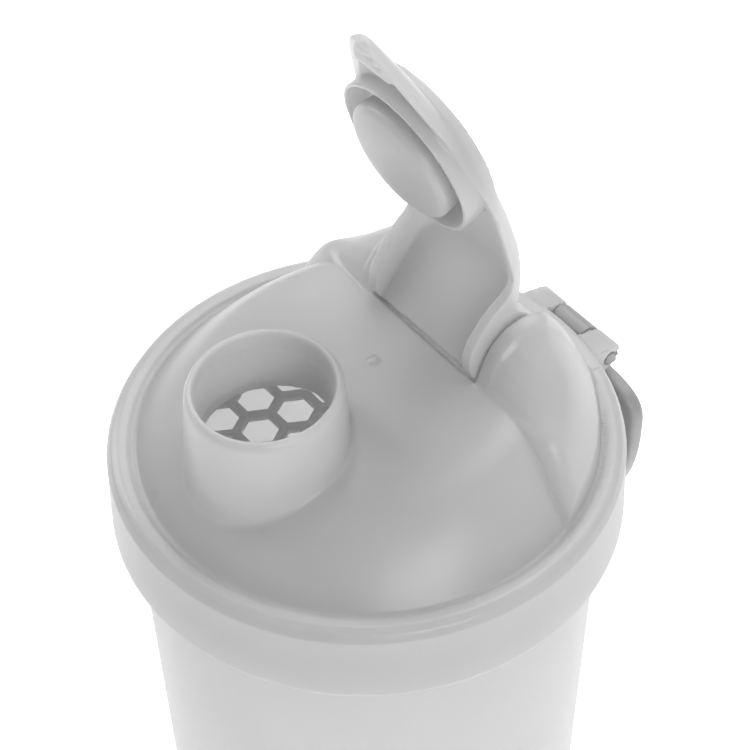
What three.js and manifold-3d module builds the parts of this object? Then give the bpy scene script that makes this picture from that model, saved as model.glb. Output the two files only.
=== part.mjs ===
// Protein shaker bottle: cup, screw lid with a spout and a flip cap, strainer, carry loop,
// and two screw-on storage cups under the bottle. Millimetres, +Z up.
// Origin: centre of the underside. The spout is towards -Y and the cap's hinge towards +Y.
import * as THREE from 'three';
import { mergeVertices } from 'three/addons/utils/BufferGeometryUtils.js';
import Module from 'manifold-3d';

const wasm = await Module();
wasm.setup();

// ---- driving dimensions --------------------------------------------------------------------
const GAP = 0.3;                 // clearance between touching pieces
const WALL = 2.2;                // moulded wall

const LID_Z = 165;               // lower edge of the lid's skirt
const SKIRT_R = 50;              // lid radius
const GROOVE_R = 44;             // groove between the bead and the dome
const GROOVE_Z = 17;
const RING_R = 41;               // bore of the lid's inner ring

const DECK_Z = 32.9;             // height of the sloping deck on the lid's axis
const DECK_SLOPE = 0.12;         // the deck rises towards the hinge
const DECK_CROWN = 0.0018;       // and falls towards its sides
const DECK_BLEND = 6.5;          // width of the soft edge between the deck and its wall
const HOUSING_Y = 13.5;          // behind this the dome's wall stands steeper round the hinge

const SPOUT_Y = -22.4;
const SPOUT_TOP = 44.5;
const SPOUT_R = 14.5;            // outside, at the rim
const SPOUT_FOOT_R = 15.6;       // outside, at the deck
const BORE_R = 12.4;             // where the plug seats
const BORE_FOOT_Z = 32.5;        // below it the bore opens into the lid
const BORE_FOOT_R = 14.2;
const MARK_X = -1.3;
const MARK_Y = 3.2;

const HINGE_Y = 20.4;            // axis of the flip cap, along X
const HINGE_Z = 38.7;
const CAP_OPEN = 74;             // degrees open as stored
const EAR_R = 7.7;               // round ends of the cap's two ears
const EAR_X = 14.95;             // outer faces of the ears
const NOTCH_X = 15.5;            // half the width of the slot that the ears turn in
const NOTCH_R = 8.25;            // round front of the slot, about the hinge axis
const STUB_R = 2.4;              // the ears' moulded hinge stubs
const STUB_X = 17.4;

const CHEEK_FRONT = 13.4;        // the two cheeks beside the slot
const CHEEK_SIDE = 30;
const CHEEK_REACH = 43.6;        // no part of them lies further from the lid's axis

const LOOP_Y = 53;               // hinge axis of the carry loop, along X
const LOOP_Z = 11.6;
const LOOP_HALF = 20.4;
const LOOP_BAR = 4.6;
const LOOP_THICK = 3.4;

const NECK_R = 45.4;             // bottle neck inside the skirt
const NECK_TOP = 11.7;           // above the skirt's lower edge
const BODY_TOP_R = 45.6;
const BODY_LOW_R = 43.2;
const BODY_LOW_Z = 56;
const BODY_FLOOR_Z = 57.8;

const POWDER_TOP_Z = 55.5;       // powder cup under the bottle
const POWDER_LOW_Z = 25.4;
const POWDER_R = 43.1;
const PILL_TOP_Z = 24.9;         // pill cup under the powder cup
const PILL_R = 42.3;
const BASE_R = 41.2;
const SOCKET = 10;               // depth of a cup's socket for the foot above it
const FOOT_INSET = 3.7;          // the foot's radius below that of the cup it screws into

const ROUND = 48;                // facets round the large turned pieces

// ---- small tools ---------------------------------------------------------------------------
const clamp01 = (a) => Math.min(1, Math.max(0, a));
const mix = (a, b, t) => a + (b - a) * t;
const smooth = (a, b, x) => {
  const t = clamp01((x - a) / (b - a));
  return t * t * (3 - 2 * t);
};
const smoothMin = (a, b, k) => {
  const h = Math.max(k - Math.abs(a - b), 0) / k;
  return Math.min(a, b) - h * h * k / 4;
};

// A closed geometry as a solid, with its faces turned outwards.
function solid(geometry) {
  const bare = geometry.index ? geometry.toNonIndexed() : geometry.clone();
  bare.deleteAttribute('normal');
  bare.deleteAttribute('uv');
  const merged = mergeVertices(bare, 1e-4);
  const points = merged.attributes.position.array;
  const faces = [];
  const index = merged.index.array;
  let volume = 0;
  for (let i = 0; i < index.length; i += 3) {
    const [a, b, c] = [index[i], index[i + 1], index[i + 2]];
    if (a === b || b === c || a === c) continue;
    faces.push([a, b, c]);
    const [p, q, r] = [a, b, c].map((k) => new THREE.Vector3().fromArray(points, 3 * k));
    volume += p.dot(q.cross(r));
  }
  if (volume < 0) faces.forEach((f) => f.reverse());
  const mesh = new wasm.Mesh({
    numProp: 3,
    vertProperties: new Float32Array(points),
    triVerts: new Uint32Array(faces.flat()),
  });
  return new wasm.Manifold(mesh);
}

// A solid back as a three.js geometry.
function geometryOf(body) {
  const mesh = body.getMesh();
  const geometry = new THREE.BufferGeometry();
  geometry.setAttribute('position', new THREE.BufferAttribute(mesh.vertProperties, 3));
  geometry.setIndex(new THREE.BufferAttribute(mesh.triVerts, 1));
  return geometry;
}

// A turned solid about +Z from a profile of [radius, z] points.
function turned(profile, facets = ROUND) {
  const points = profile.map(([r, z]) => new THREE.Vector2(r, z));
  if (profile[0][0] > 0 || profile.at(-1)[0] > 0) points.push(points[0].clone());
  return solid(new THREE.LatheGeometry(points, facets).rotateX(Math.PI / 2));
}

// A round bar along X from x0 to x1.
function barX(radius, x0, x1, y, z, facets = 20) {
  const bar = new THREE.CylinderGeometry(radius, radius, x1 - x0, facets).rotateZ(Math.PI / 2);
  return solid(bar.translate((x0 + x1) / 2, y, z));
}

function box(x0, x1, y0, y1, z0, z1) {
  const block = new THREE.BoxGeometry(x1 - x0, y1 - y0, z1 - z0);
  return solid(block.translate((x0 + x1) / 2, (y0 + y1) / 2, (z0 + z1) / 2));
}

// A box whose vertices (a, b, c), each running from 0 to 1, are moved to place(a, b, c).
function moulded(na, nb, place) {
  const block = new THREE.BoxGeometry(1, 1, 1, na, nb, 1).translate(0.5, 0.5, 0.5);
  const position = block.attributes.position;
  for (let i = 0; i < position.count; i += 1) {
    position.setXYZ(i, ...place(position.getX(i), position.getY(i), position.getZ(i)));
  }
  return solid(block);
}

// An outline in the YZ plane, pushed along X from x0 to x1.
function slabX(outline, x0, x1) {
  const shape = new THREE.Shape(outline.map(([y, z]) => new THREE.Vector2(y, z)));
  const slab = new THREE.ExtrudeGeometry(shape, { depth: x1 - x0, bevelEnabled: false });
  const axes = new THREE.Matrix4().makeBasis(
    new THREE.Vector3(0, 1, 0), new THREE.Vector3(0, 0, 1), new THREE.Vector3(1, 0, 0));
  return solid(slab.applyMatrix4(axes).translate(x0, 0, 0));
}

// A line through [s, value] points, read at any s.
function line(points) {
  return (s) => {
    const next = points.findIndex(([at]) => at >= s);
    if (next === 0) return points[0][1];
    if (next < 0) return points.at(-1)[1];
    const [s0, v0] = points[next - 1];
    const [s1, v1] = points[next];
    return mix(v0, v1, (s - s0) / (s1 - s0));
  };
}

// ---- lid -----------------------------------------------------------------------------------
// Height of the dome's outside: a sloping deck that rolls over into a wall. Round the hinge the
// wall stands steeper, so the deck reaches further out there.
function domeHeight(x, y) {
  const r = Math.hypot(x, y);
  const out = GROOVE_R - r;
  const rear = r > 0 ? y / r : 0;
  const deck = DECK_Z + DECK_SLOPE * y - DECK_CROWN * x * x;
  const gentle = GROOVE_Z + out * (1.3 + 0.33 * rear);
  const steep = GROOVE_Z + 4 * Math.min(1, out / 0.8) + out * 2.15;
  return smoothMin(deck, mix(gentle, steep, smooth(HOUSING_Y, HOUSING_Y + 3, y)), DECK_BLEND);
}

// Its inside: two millimetres under the deck, and deeper under the hinge slot.
function hollowHeight(x, y) {
  const r = Math.hypot(x, y);
  const deck = mix(DECK_Z + DECK_SLOPE * y - DECK_CROWN * x * x - 2, 26.6, smooth(4, 11, y));
  const wall = 14.5 + (RING_R - r) * 1.3;
  return smoothMin(deck, wall, DECK_BLEND);
}

// A body turned about +Z whose profile changes with the angle.
function turnedBy(profileAt, facets) {
  const count = profileAt(0).length - 1;
  const block = new THREE.PlaneGeometry(1, 1, facets, count);
  const position = block.attributes.position;
  for (let i = 0; i < position.count; i += 1) {
    const step = Math.round((position.getX(i) + 0.5) * facets) % facets;
    const angle = 2 * Math.PI * step / facets;
    const [r, z] = profileAt(angle)[Math.round((position.getY(i) + 0.5) * count)];
    position.setXYZ(i, r * Math.cos(angle), r * Math.sin(angle), z);
  }
  return solid(block);
}

const LID_SHELL = [              // bead, skirt and the two rings that hold the neck
  [44.6, 17.3], [45.6, 18], [47.2, 18.2], [48.6, 17.8], [49.4, 16.6],
  [SKIRT_R, 0], [48, 0], [47.4, 1], [47.2, 13.8], [42.8, 13.8], [42.8, 6], [RING_R, 6],
];

function lidBody() {
  const outside = [0, 12, 20, 26, 31, 35, 38, 41, 43.2, GROOVE_R];
  const inside = [RING_R, 37, 31, 22, 0];
  return turnedBy((angle) => {
    const at = (r, height) => [r, height(r * Math.cos(angle), r * Math.sin(angle))];
    return [
      ...outside.map((r) => at(r, domeHeight)),
      ...LID_SHELL,
      ...inside.map((r) => at(r, hollowHeight)),
    ];
  }, 54);
}

// Outline of a cheek where it meets the slot, and its top further out: it leans down to the deck.
const cheekEdge = line([
  [13.4, 32], [13.6, 34.6], [14.7, 38.2], [16.9, 41.9], [20.4, 44.4], [24, 45.2], [27.6, 44.6],
  [30, 43.4], [32, 40.7], [34.2, 37], [36.5, 32.4], [38.5, 28.1], [44, 17],
]);

const CHEEK_STEPS = [0, 0.02, 0.06, 0.12, 0.2, 0.3, 0.4, 0.5, 0.6, 0.7, 0.8, 0.9, 0.98, 1];

function cheekHeight(x, y) {
  const side = (x - NOTCH_X) / (CHEEK_SIDE - NOTCH_X);
  const lean = 1 - smooth(0, 1, side);
  const across = Math.hypot(x, y);
  const inLine = Math.sqrt(Math.max(0, across ** 2 - NOTCH_X ** 2));
  const edge = Math.min(cheekEdge(y - 3 * side * side), cheekEdge(Math.max(inLine, 24)));
  const deck = domeHeight(x, y) - 0.6;
  return deck + Math.max(0, edge - deck) * lean;
}

function cheek() {
  const base = 16;
  const steps = CHEEK_STEPS.length - 1;
  return moulded(6, steps, (a, b, c) => {
    const x = mix(NOTCH_X - 1, CHEEK_SIDE, a);
    const reach = Math.sqrt(CHEEK_REACH ** 2 - x * x);
    const y = mix(CHEEK_FRONT, reach, CHEEK_STEPS[Math.round(steps * b)]);
    return [x, y, c === 0 ? base : cheekHeight(Math.max(x, NOTCH_X), y)];
  });
}

// The slot between the cheeks: round about the hinge axis, and open to the rear.
function slot() {
  const floor = (y) => 17.4 + 13.2 * Math.sqrt(1 - clamp01((y - HINGE_Y) / 23.2) ** 2);
  const behind = moulded(1, 8, (a, b, c) => {
    const y = mix(HINGE_Y, 43.5, b);
    return [mix(-NOTCH_X, NOTCH_X, a), y, c === 0 ? floor(y) : 60];
  });
  return barX(NOTCH_R, -NOTCH_X, NOTCH_X, HINGE_Y, HINGE_Z, 40)
    .add(box(-NOTCH_X, NOTCH_X, HINGE_Y - NOTCH_R, HINGE_Y + 0.5, HINGE_Z, 60))
    .add(behind);
}

const spout = () => turned([
  [0, 24], [SPOUT_FOOT_R, 26], [SPOUT_R, SPOUT_TOP - 1.2], [SPOUT_R - 0.5, SPOUT_TOP - 0.3],
  [SPOUT_R - 1.1, SPOUT_TOP], [0, SPOUT_TOP],
], 40);

const spoutBore = () => turned([
  [0, 20], [BORE_FOOT_R, 20], [BORE_FOOT_R, BORE_FOOT_Z - 1.5], [BORE_R + 0.2, BORE_FOOT_Z],
  [BORE_R, SPOUT_TOP - 0.8], [BORE_R + 0.8, SPOUT_TOP + 0.01], [BORE_R + 0.8, 50], [0, 50],
], 40);

// Small moulding mark on the deck, between the spout and the hinge slot.
const deckMark = () => turned([[0, -1], [1.1, -1], [0.9, 0.4], [0.4, 0.6], [0, 0.6]], 12);

// The two lugs that hold the loop's pin, with a thin lip over it.
function lug(x0, x1) {
  const outline = [
    [47, 9], [47, 16], [49.4, 15.4], [53.4, 14.5], [55.6, 13.6], [55.5, 12.9],
    [54.9, 12.6], [55.2, 11.2], [54.4, 9.8], [53, 9.3],
  ];
  return slabX(outline, x0, x1);
}

function lid() {
  const right = cheek();
  const stubHoles = barX(STUB_R + 0.4, -STUB_X - 0.5, STUB_X + 0.5, HINGE_Y, HINGE_Z);
  return lidBody()
    .add(right)
    .add(right.mirror([1, 0, 0]))
    .add(spout().translate(0, SPOUT_Y, 0))
    .add(deckMark().translate(MARK_X, MARK_Y, domeHeight(MARK_X, MARK_Y)))
    .add(lug(4.7, 11.3))
    .add(lug(-11.3, -4.7))
    .subtract(slot())
    .subtract(stubHoles)
    .subtract(spoutBore().translate(0, SPOUT_Y, 0))
    .subtract(barX(1.6, -10.3, 12, LOOP_Y, LOOP_Z));
}

// ---- flip cap, in its closed position about the hinge axis: forward is -Y, up is +Z -----------
const capRim = line([
  [-3.4, -6.9], [0, -7.7], [3.5, -6.9], [5.8, -5.2], [7.4, -3.3], [9.2, -1.2], [10.4, 1.4],
  [11.2, 4], [12.4, 5.5], [15, 6.2], [33, 5.7], [52, 3.7], [66, 1], [73.8, -0.8],
]);
const capCrown = line([
  [4, 11.6], [8, 12], [12, 12.8], [18, 12.9], [27, 12.2], [39, 10.7], [49, 8.8], [58, 6.7],
  [66, 4.5], [73, 2.3], [73.8, 1.8],
]);
const capHalf = line([
  [8, EAR_X], [11, 15.3], [17, 16.3], [26, 17.2], [36, 17.7], [43, 17.4], [49, 15.8],
  [54, 13.3], [60, 9.9], [65.7, 7], [69, 5.3], [72, 3.7], [73.8, 2.2],
]);
const CAP_STATIONS = [
  -3.4, 0, 3.5, 5.8, 7.4, 9.2, 10.4, 11.2, 12.4, 16, 24, 33, 41, 47, 52, 57, 62, 66, 69.5, 72, 73.8,
];
const CAP_TIP = 73.8;
const CAP_PLATE_TOP = [8.1, 11.5];       // outer face of the sloping rear plate, (s, t)
const CAP_PLATE_LOW = [-3.4, -6.5];

// Forward position at height t on the outer face of the rear plate.
const plateAt = (t) => mix(CAP_PLATE_LOW[0], CAP_PLATE_TOP[0],
  (t - CAP_PLATE_LOW[1]) / (CAP_PLATE_TOP[1] - CAP_PLATE_LOW[1]));

function capOutside() {
  const count = CAP_STATIONS.length - 1;
  return moulded(6, count, (a, b, c) => {
    const s = CAP_STATIONS[Math.round(b * count)];
    const u = 2 * a - 1;
    if (c === 0) return [u * capHalf(s), -s, capRim(s)];
    const top = Math.max(s, mix(CAP_PLATE_TOP[0], CAP_TIP, b));
    const arch = mix(3.9, 1.4, smooth(20, 75, top));
    return [u * capHalf(top), -top, capCrown(top) - arch * Math.abs(u) ** 2.4];
  });
}

function capInside() {
  const count = 9;
  const front = 66;
  const low = -12;
  return moulded(6, count, (a, b, c) => {
    const u = 2 * a - 1;
    const s = mix(plateAt(c === 0 ? low : 10) + 2.5, front, b);
    const half = capHalf(Math.max(s, 8)) - WALL;
    if (c === 0) return [u * half, -s, low];
    const arch = mix(3.4, 1.4, smooth(20, 75, s));
    return [u * half, -s, capCrown(s) - 2 - arch * Math.abs(u) ** 2.4];
  });
}

const PLUG_S = HINGE_Y - SPOUT_Y;        // the plug's distance in front of the hinge
const PLUG_R = 12;
const PLUG_LOW = -1.2;
const COLLAR_IN = 15.05;
const COLLAR_OUT = 15.8;

function flipCap() {
  const ear = (x) => barX(EAR_R, x - WALL / 2, x + WALL / 2, 0, 0, 28);
  const collar = turned([
    [COLLAR_IN, 0.9], [COLLAR_OUT, 0.9], [COLLAR_OUT, 8], [COLLAR_IN, 8],
  ], 36);
  const plugPost = turned([[0, 3.2], [3.2, 3.2], [3.2, 10], [0, 10]], 20);
  const ridges = [66.4, 68.4, 70.4, 72.4].map((s) => {
    const half = capHalf(s) - 1.5;
    return barX(0.7, -half, half, -s, capRim(s), 6);
  });
  return ridges.reduce((body, ridge) => body.add(ridge), capOutside()
    .subtract(capInside())
    .subtract(rimSeat())
    .add(ear(EAR_X - WALL / 2))
    .add(ear(-EAR_X + WALL / 2))
    .add(barX(STUB_R, EAR_X - 1, STUB_X, 0, 0, 20))
    .add(barX(STUB_R, -STUB_X, 1 - EAR_X, 0, 0, 20))
    .add(collar.translate(0, -PLUG_S, 0))
    .add(plugPost.translate(0, -PLUG_S, 0)));
}

// Room under the roof for the spout's rim when the cap is shut.
const rimSeat = () => turned([
  [0, -12], [SPOUT_R + 0.4, -12], [SPOUT_R + 0.4, SPOUT_TOP - HINGE_Z + GAP],
  [0, SPOUT_TOP - HINGE_Z + GAP],
], 40).translate(0, -PLUG_S, 0);

const spoutPlug = () => turned([
  [0, PLUG_LOW + 0.5], [PLUG_R - 3, PLUG_LOW], [PLUG_R - 1.2, PLUG_LOW + 0.1],
  [PLUG_R - 0.2, PLUG_LOW + 1], [PLUG_R, PLUG_LOW + 2.2], [PLUG_R - 0.4, 4.6],
  [PLUG_R - 2, 4.6], [PLUG_R - 2.2, PLUG_LOW + 2.4], [3.5 + WALL, PLUG_LOW + 2.4],
  [3.5 + WALL, 5], [3.5, 5], [3.5, 2.9], [0, 2.9],
], 36).translate(0, -PLUG_S, 0);

// ---- carry loop ----------------------------------------------------------------------------
// Stirrup outline in the XZ plane: flat-topped above its widest line, long below it.
function stirrup(half, top, low, count = 32) {
  const middle = -2;
  return Array.from({ length: count }, (_, i) => {
    const angle = 2 * Math.PI * i / count;
    const [c, s] = [Math.cos(angle), Math.sin(angle)];
    const power = s > 0 ? 2 / 3.4 : 2 / 2.3;
    const x = half * Math.sign(c) * Math.abs(c) ** power;
    const z = middle + Math.sign(s) * (s > 0 ? top - middle : middle - low) * Math.abs(s) ** power;
    return new THREE.Vector2(x, z);
  });
}

function carryLoop() {
  const top = 7.8;
  const low = -32;
  const shape = new THREE.Shape(stirrup(LOOP_HALF, top, low));
  shape.holes.push(new THREE.Path(
    stirrup(LOOP_HALF - LOOP_BAR, top - LOOP_BAR, low + LOOP_BAR, 28).reverse()));
  const frame = new THREE.ExtrudeGeometry(shape, { depth: LOOP_THICK, bevelEnabled: false });
  const rear = LOOP_Y + 0.3 + LOOP_THICK / 2;
  frame.rotateX(Math.PI / 2).translate(0, rear, 0);
  return solid(frame)
    .add(barX(3, -4.3, 4.3, LOOP_Y, LOOP_Z))
    .add(box(-4.3, 4.3, LOOP_Y - 1.4, LOOP_Y + 2, 5, LOOP_Z - 1))
    .subtract(barX(1.6, -5, 5, LOOP_Y, LOOP_Z));
}

const loopPin = () => barX(1.3, -10, 11.3, LOOP_Y, LOOP_Z);

// ---- strainer and seal ---------------------------------------------------------------------
const STRAINER_R = 40.6;
const HEX_PITCH = 8.5;
const HEX_HOLE = 3.85;           // centre to corner of one hole

function strainer() {
  const plate = new THREE.Shape().absarc(0, 0, STRAINER_R - 0.6, 0, 2 * Math.PI);
  const column = HEX_PITCH * Math.sqrt(3) / 2;
  for (let i = -5; i <= 5; i += 1) {
    for (let j = -5; j <= 5; j += 1) {
      const x = i * column + HEX_PITCH / Math.sqrt(3);
      const y = (j + (i % 2 === 0 ? 0 : 0.5)) * HEX_PITCH;
      if (Math.hypot(x, y) > STRAINER_R - 2.6 - HEX_HOLE) continue;
      const corners = Array.from({ length: 6 }, (_, k) => new THREE.Vector2(
        x + HEX_HOLE * Math.cos(k * Math.PI / 3), y + HEX_HOLE * Math.sin(k * Math.PI / 3)));
      plate.holes.push(new THREE.Path(corners.reverse()));
    }
  }
  const grid = new THREE.ExtrudeGeometry(plate, { depth: 1.8, bevelEnabled: false, curveSegments: 18 });
  const rim = turned([
    [STRAINER_R - 2, 6.6], [STRAINER_R, 6.6], [STRAINER_R, 11.8], [STRAINER_R - 0.4, 12.2],
    [STRAINER_R - 2, 12.2],
  ], 36);
  return solid(grid.translate(0, 0, 10.2)).add(rim);
}

const lidSeal = () => turned([[43.1, 12], [46.6, 12], [46.6, 13.5], [43.1, 13.5]], 32);

// ---- bottle and storage cups ---------------------------------------------------------------
// Foot ring under a piece, screwing into a cup of the given radius; z is the cup's top.
const footRing = (radius, z, floor) => [
  [0, floor], [radius - FOOT_INSET - 3, floor], [radius - FOOT_INSET - 2.4, z - 8.7],
  [radius - FOOT_INSET - 0.2, z - 8.7], [radius - FOOT_INSET, z + 0.5],
];

const bottle = () => turned([
  ...footRing(POWDER_R, POWDER_TOP_Z, POWDER_TOP_Z + 0.1),
  [BODY_LOW_R - 0.5, BODY_LOW_Z], [BODY_LOW_R, BODY_LOW_Z + 0.5], [BODY_TOP_R, LID_Z - 3],
  [NECK_R, LID_Z - 1], [NECK_R, LID_Z + NECK_TOP], [NECK_R - WALL, LID_Z + NECK_TOP],
  [NECK_R - WALL, LID_Z - 2], [BODY_LOW_R - WALL, BODY_FLOOR_Z + 3.2],
  [BODY_LOW_R - WALL - 2, BODY_FLOOR_Z + 0.6], [0, BODY_FLOOR_Z],
]);

// A storage cup on the given foot: a wall, a ledge for its seal, and an inside that runs to a floor.
function storageCup(top, radius, base, baseRadius, floor, foot) {
  const socket = top - SOCKET;
  return turned([
    ...foot,
    [baseRadius, base + 1], [radius, top - 0.4], [radius - 0.4, top], [radius - 2.4, top],
    [radius - 2.6, socket], [radius - 5.4, socket], [radius - 5.4, socket - 1],
    [radius - 3.6, socket - 3], [baseRadius - 2.4, floor + 2], [baseRadius - 4.4, floor], [0, floor],
  ]);
}

const powderCup = () => storageCup(
  POWDER_TOP_Z, POWDER_R, POWDER_LOW_Z, PILL_R + 0.1, POWDER_LOW_Z + 2,
  [...footRing(PILL_R, PILL_TOP_Z, POWDER_LOW_Z - 0.2), [PILL_R - 0.6, POWDER_LOW_Z]]);

const pillCup = () => storageCup(
  PILL_TOP_Z, PILL_R, 0, BASE_R, 2.2,
  [[0, 0], [BASE_R - 1.2, 0]]);

const cupSeal = (radius, z) => turned([
  [radius - 4.9, z], [radius - 3, z], [radius - 3, z + 0.7], [radius - 4.9, z + 0.7],
], 32);

// Loose tray with four compartments in the pill cup.
function pillTray() {
  const radius = 35.7;
  const wall = 1.4;
  const [low, top] = [2.6, 12.4];
  const ring = turned([
    [0, low], [radius - 0.8, low], [radius, low + 0.8], [radius, top], [radius - wall, top],
    [radius - wall, low + wall], [0, low + wall],
  ]);
  const rib = box(-wall / 2, wall / 2, -radius + wall / 2, radius - wall / 2, low + 0.5, top - 0.6);
  return ring.add(rib).add(rib.rotate([0, 0, 90]));
}

// ---- scene graph ---------------------------------------------------------------------------
const plastic = (color, roughness) => new THREE.MeshStandardMaterial({ color, roughness, metalness: 0 });
const frosted = plastic(0xc4c4c4, 0.3);
const clear = plastic(0xdcdcdc, 0.22);
const satin = plastic(0xb0b0b0, 0.35);
const silicone = plastic(0xe6e6e4, 0.6);

function piece(name, body, material) {
  const mesh = new THREE.Mesh(geometryOf(body), material.clone());
  mesh.name = name;
  return mesh;
}

const group = new THREE.Group();

group.add(
  piece('bottle', bottle(), clear),
  piece('powder_cup', powderCup(), clear),
  piece('powder_cup_seal', cupSeal(POWDER_R, POWDER_TOP_Z - SOCKET + GAP), silicone),
  piece('pill_cup', pillCup(), clear),
  piece('pill_cup_seal', cupSeal(PILL_R, PILL_TOP_Z - SOCKET + GAP), silicone),
  piece('pill_tray', pillTray(), satin),
);

const lidGroup = new THREE.Group();
lidGroup.position.z = LID_Z;
lidGroup.add(
  piece('lid', lid(), frosted),
  piece('lid_seal', lidSeal(), silicone),
  piece('strainer', strainer(), satin),
  piece('carry_loop', carryLoop(), satin),
  piece('loop_pin', loopPin(), satin),
);

const capGroup = new THREE.Group();
capGroup.position.set(0, HINGE_Y, HINGE_Z);
capGroup.rotation.x = THREE.MathUtils.degToRad(-CAP_OPEN);
capGroup.add(
  piece('flip_cap', flipCap(), frosted),
  piece('spout_plug', spoutPlug(), silicone),
);
lidGroup.add(capGroup);
group.add(lidGroup);

export default group;
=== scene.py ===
import math

import bpy
import numpy as np
from mathutils import Matrix, Vector


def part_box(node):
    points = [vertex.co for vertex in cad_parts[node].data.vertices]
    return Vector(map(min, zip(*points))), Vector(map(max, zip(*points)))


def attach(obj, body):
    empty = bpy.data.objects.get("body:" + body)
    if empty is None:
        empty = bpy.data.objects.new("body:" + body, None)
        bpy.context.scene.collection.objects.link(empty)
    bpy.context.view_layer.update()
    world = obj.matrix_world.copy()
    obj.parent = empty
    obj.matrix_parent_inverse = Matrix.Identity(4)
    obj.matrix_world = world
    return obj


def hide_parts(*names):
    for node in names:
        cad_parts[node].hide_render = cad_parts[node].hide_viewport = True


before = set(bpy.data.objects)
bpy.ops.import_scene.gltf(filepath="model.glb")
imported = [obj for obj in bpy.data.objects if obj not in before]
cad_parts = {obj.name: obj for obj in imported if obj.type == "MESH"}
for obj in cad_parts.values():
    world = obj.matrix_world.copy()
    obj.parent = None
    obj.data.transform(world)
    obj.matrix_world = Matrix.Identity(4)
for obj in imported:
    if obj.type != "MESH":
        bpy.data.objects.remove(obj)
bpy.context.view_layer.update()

MM = 0.001

# ---- driving dimensions, in the lid's frame: z = 0 at the skirt's lower edge ---------------------
LID_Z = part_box("lid")[0].z / MM
# the dome's foot in the groove inside the bead, the ring that holds the strainer, the skirt's inside
GROOVE_R, GROOVE_Z = 44, 17
RING_R = 41
SKIRT_IN_R, SKIRT_IN_TOP = 47.3, 13.8
# the sloping deck, how wide the curve from the deck down to the walls is, and the lid's thickness
DECK_Z, DECK_SLOPE, DECK_CROWN = 32.9, 0.12, 0.0018
DECK_BLEND = 9.75
LID_WALL = 2
# the hinge housing, which starts at this y
HOUSING_Y = 13.8
SPOUT_Y, SPOUT_TOP, SPOUT_R, SPOUT_FOOT_R = -22.4, 44.5, 14.5, 15.6
BORE_R, BORE_FOOT_Z, BORE_FOOT_R = 12.4, 32.5, 14.2
# the cap's hinge axis, its opening at rest, and its ears in the slot between the cheeks
HINGE_Y, HINGE_Z, CAP_OPEN = 20.4, 38.7, math.radians(74)
EAR_R, EAR_X, NOTCH_X, NOTCH_R = 7.7, 14.95, 15.5, 8.25
STUB_R, STUB_HOLE_R, STUB_FROM_X = 2.4, 2.8, 14
# how far out the cheeks reach in x
CHEEK_SIDE = 33
# the carry loop's pin
LOOP_Y, LOOP_Z = 53, 11.6
# the bottle: its neck above the lid's lower edge, its wall, and its taper
NECK_R, NECK_TOP, WALL = 45.4, 11.7, 2.2
BODY_TOP_R, BODY_LOW_R, BODY_LOW_Z, BODY_FLOOR_Z = 45.6, 43.2, 56, 57.8
# every thread has this lead and number of starts; the cups' threads are lower than the neck's
LEAD, STARTS = 12, 2
THREAD_HEIGHT, CUP_THREAD_HEIGHT = 0.85, 0.7


# ---- small tools ---------------------------------------------------------------------------------
def smooth(a, b, x):
    """0 below a and 1 above b, with an even curve between them."""
    t = np.clip((x - a) / (b - a), 0, 1)
    return t * t * (3 - 2 * t)


def smin(a, b, k):
    """The lesser of two fields, with a curve k wide where they meet."""
    h = np.maximum(k - np.abs(a - b), 0) / k
    return np.minimum(a, b) - h * h * k / 4


def smax(a, b, k):
    return -smin(-a, -b, k)


def soft_min(a, b, k):
    """Like smin, but the curve starts so gently that no line shows where it begins."""
    h = np.maximum(k - np.abs(a - b), 0) / k
    return np.minimum(a, b) - h ** 3 * k / 6


def curve(points, soft):
    """A line through (s, value) points, its corners softened over soft millimetres.

    Beyond its ends it keeps the value it has there.
    """
    at, value = np.array(points, float).T
    step = 0.05
    s = np.arange(at[0] - 4 * soft, at[-1] + 4 * soft, step)
    raw = np.interp(s, at, value)
    reach = int(3 * soft / step)
    kernel = np.exp(-0.5 * (np.arange(-reach, reach + 1) * step / soft) ** 2)
    padded = np.pad(raw, reach, mode="edge")
    table = np.convolve(padded, kernel / kernel.sum(), mode="valid")
    return lambda x: np.interp(x, s, table)


def thread(angle, z, phase=0.0):
    """1 on the crest of a two-start thread and 0 between its crests."""
    turn = STARTS * (angle - 2 * np.pi * z / LEAD) + phase
    away = np.abs((turn + np.pi) % (2 * np.pi) - np.pi) / np.pi
    return 1 - smooth(0.12, 0.42, away)


def crests(height, angle, z, starts, ends, phase=0.0):
    """A thread that fades in between the two heights in starts, and out between those in ends."""
    return height * thread(angle, z, phase) * smooth(*starts, z) * (1 - smooth(*ends, z))


def cylinder(a, b, radius, c, low, high):
    """Field of a round bar of that radius: a and b are offsets across it, and c runs along it."""
    return np.maximum(np.hypot(a, b) - radius, np.maximum(low - c, c - high))


def polygon(u, v, corners):
    """Signed distance to a closed outline in a plane."""
    best, sign = np.inf, 1.0
    for (u0, v0), (u1, v1) in zip(corners, corners[1:] + corners[:1]):
        eu, ev = u1 - u0, v1 - v0
        t = np.clip(((u - u0) * eu + (v - v0) * ev) / (eu * eu + ev * ev), 0, 1)
        best = np.minimum(best, np.hypot(u - u0 - t * eu, v - v0 - t * ev))
        spans = (v0 > v) != (v1 > v)
        crosses = u < (u1 - u0) * (v - v0) / ((v1 - v0) or 1e-9) + u0
        sign = np.where(spans & crosses, -sign, sign)
    return sign * best


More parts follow.
